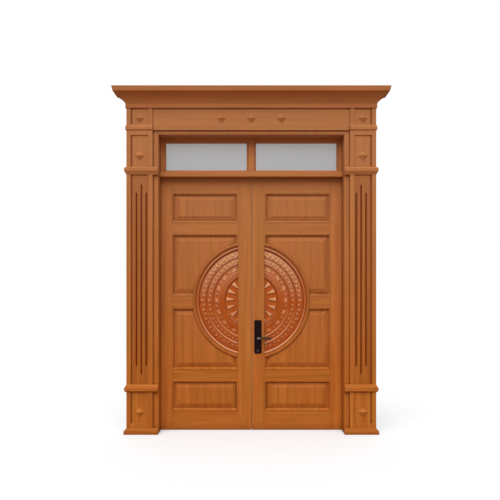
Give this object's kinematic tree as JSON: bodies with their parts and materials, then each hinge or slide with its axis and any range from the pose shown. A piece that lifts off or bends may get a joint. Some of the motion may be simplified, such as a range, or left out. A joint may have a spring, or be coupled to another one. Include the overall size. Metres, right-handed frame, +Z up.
{
  "type": "double entrance door",
  "caption": "Pair of panelled entrance doors with a carved half drum on each leaf, a transom light, a lever lock and flush bolts, in a fluted pilaster surround under a cornice.",
  "frame": {"origin": "on the floor, midway between the jambs, in the plane of the wall face behind the surround", "axes": "+X across the doorway to the right as seen from outside, +Y into the building, +Z up"},
  "size_m": [2.328, 0.374, 2.92],
  "materials": {
    "wood_grain_coating": "satin coating with a printed wood grain on aluminium",
    "panel_coating": "satin coating with a printed wood grain on aluminium sheet",
    "carved_drum": "glossy red-brown coating on relief",
    "frosted_glass": "frosted",
    "hinge_metal": "satin bronze coating",
    "bare_steel": "zinc plated",
    "satin_steel": "satin",
    "black_metal": "satin black",
    "seal_rubber": "matt",
    "plug_plastic": "matt"
  },
  "bodies": {
    "frame": {"left_jamb": "wood_grain_coating", "right_jamb": "wood_grain_coating", "frame_head": "wood_grain_coating", "transom_bar": "wood_grain_coating", "transom_frame": "wood_grain_coating", "transom_mullion": "wood_grain_coating", "glazing_beads": "wood_grain_coating", "pilaster_shafts": "wood_grain_coating", "plinths": "wood_grain_coating", "end_blocks": "wood_grain_coating", "pilaster_mouldings": "wood_grain_coating", "frieze_board": "wood_grain_coating", "cornice": "wood_grain_coating", "diamond_studs": "wood_grain_coating", "casings": "wood_grain_coating", "glass_panes": "frosted_glass", "hinge_frame_plates": "hinge_metal", "hinge_pins": "bare_steel", "frame_seals": "seal_rubber"},
    "left_leaf": {"left_hinge_stile": "wood_grain_coating", "left_meeting_stile": "wood_grain_coating", "left_top_rail": "wood_grain_coating", "left_cross_rails": "wood_grain_coating", "left_middle_rail": "wood_grain_coating", "left_bottom_rail": "wood_grain_coating", "left_small_panels": "panel_coating", "left_large_panels": "panel_coating", "left_mouldings": "wood_grain_coating", "left_medallion_rim": "wood_grain_coating", "left_medallion": "carved_drum", "left_hinge_plates": "hinge_metal", "left_end_caps": "plug_plastic", "left_seals": "seal_rubber", "strike_plate": "bare_steel", "flush_bolt_cases": "bare_steel"},
    "right_leaf": {"right_hinge_stile": "wood_grain_coating", "right_meeting_stile": "wood_grain_coating", "right_top_rail": "wood_grain_coating", "right_cross_rails": "wood_grain_coating", "right_middle_rail": "wood_grain_coating", "right_bottom_rail": "wood_grain_coating", "right_small_panels": "panel_coating", "right_large_panels": "panel_coating", "right_mouldings": "wood_grain_coating", "right_medallion_rim": "wood_grain_coating", "right_medallion": "carved_drum", "right_hinge_plates": "hinge_metal", "right_end_caps": "plug_plastic", "right_seals": "seal_rubber", "lock_case": "bare_steel", "handle_plates": "black_metal", "lock_cylinder": "satin_steel"},
    "lever": {"lever_handles": "satin_steel", "lever_spindle": "bare_steel"},
    "upper_rod": {"upper_rod": "bare_steel"},
    "lower_rod": {"lower_rod": "bare_steel"},
    "thumb_turn": {"thumb_turn": "satin_steel"},
    "dead_bolt": {"dead_bolt": "bare_steel"},
    "upper_flush_bolt": {"upper_flush_bolt": "bare_steel"},
    "lower_flush_bolt": {"lower_flush_bolt": "bare_steel"}
  },
  "joints": [
    {"name": "left_leaf_swing", "type": "hinge", "parent": "frame", "child": "left_leaf", "pos_m": [-0.803, 0.1445, 0], "axis": [0, 0, 1], "range_deg": [0, 100]},
    {"name": "right_leaf_swing", "type": "hinge", "parent": "frame", "child": "right_leaf", "pos_m": [0.803, 0.1445, 0], "axis": [0, 0, -1], "range_deg": [0, 100]},
    {"name": "lever_lift", "type": "hinge", "parent": "right_leaf", "child": "lever", "pos_m": [0.058, 0.105, 0.804], "axis": [0, -1, 0], "range_deg": [0, 45]},
    {"name": "upper_rod_slide", "type": "slide", "parent": "right_leaf", "child": "upper_rod", "axis": [0, 0, 1], "range_m": [0, 0.02]},
    {"name": "lower_rod_slide", "type": "slide", "parent": "right_leaf", "child": "lower_rod", "axis": [0, 0, -1], "range_m": [0, 0.02]},
    {"name": "thumb_turn_twist", "type": "hinge", "parent": "right_leaf", "child": "thumb_turn", "pos_m": [0.058, 0.105, 0.695], "axis": [0, -1, 0], "range_deg": [0, 90]},
    {"name": "dead_bolt_slide", "type": "slide", "parent": "right_leaf", "child": "dead_bolt", "axis": [-1, 0, 0], "range_m": [0, 0.022]},
    {"name": "upper_flush_bolt_slide", "type": "slide", "parent": "left_leaf", "child": "upper_flush_bolt", "axis": [0, 0, 1], "range_m": [0, 0.018]},
    {"name": "lower_flush_bolt_slide", "type": "slide", "parent": "left_leaf", "child": "lower_flush_bolt", "axis": [0, 0, -1], "range_m": [0, 0.018]}
  ],
  "couplings": [
    {"joint": "lower_rod_slide", "follows": "upper_rod_slide", "ratio": 1},
    {"joint": "lever_lift", "follows": "upper_rod_slide", "rad_per_m": 39.266},
    {"joint": "thumb_turn_twist", "follows": "dead_bolt_slide", "rad_per_m": 71.393}
  ]
}
